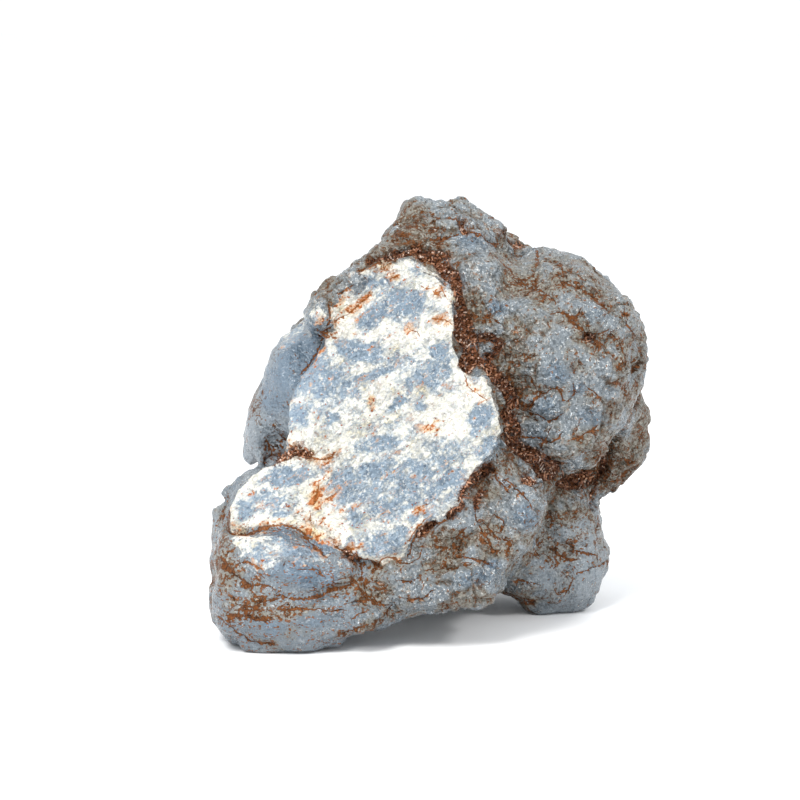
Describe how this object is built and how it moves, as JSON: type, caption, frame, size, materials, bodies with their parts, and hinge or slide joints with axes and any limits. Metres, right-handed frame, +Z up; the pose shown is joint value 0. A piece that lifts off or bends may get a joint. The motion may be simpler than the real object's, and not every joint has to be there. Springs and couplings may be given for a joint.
{
  "type": "raw angelite stone",
  "caption": "Rough lobed nodule of blue-grey angelite with one broad broken face, rusty furrows and three resting lobes.",
  "frame": {"origin": "on the surface that the stone rests on, under the middle of its bounding box", "axes": "+Z up, +X to the right and +Y away from the broken face, seen from in front of that face"},
  "size_m": [0.0698, 0.0538, 0.0663],
  "materials": {
    "anhydrite": "rough waxy blue-grey rind with rust-filled furrows, and a matt cream and blue broken face"
  },
  "bodies": {
    "root": {"angelite": "anhydrite"}
  },
  "joints": []
}
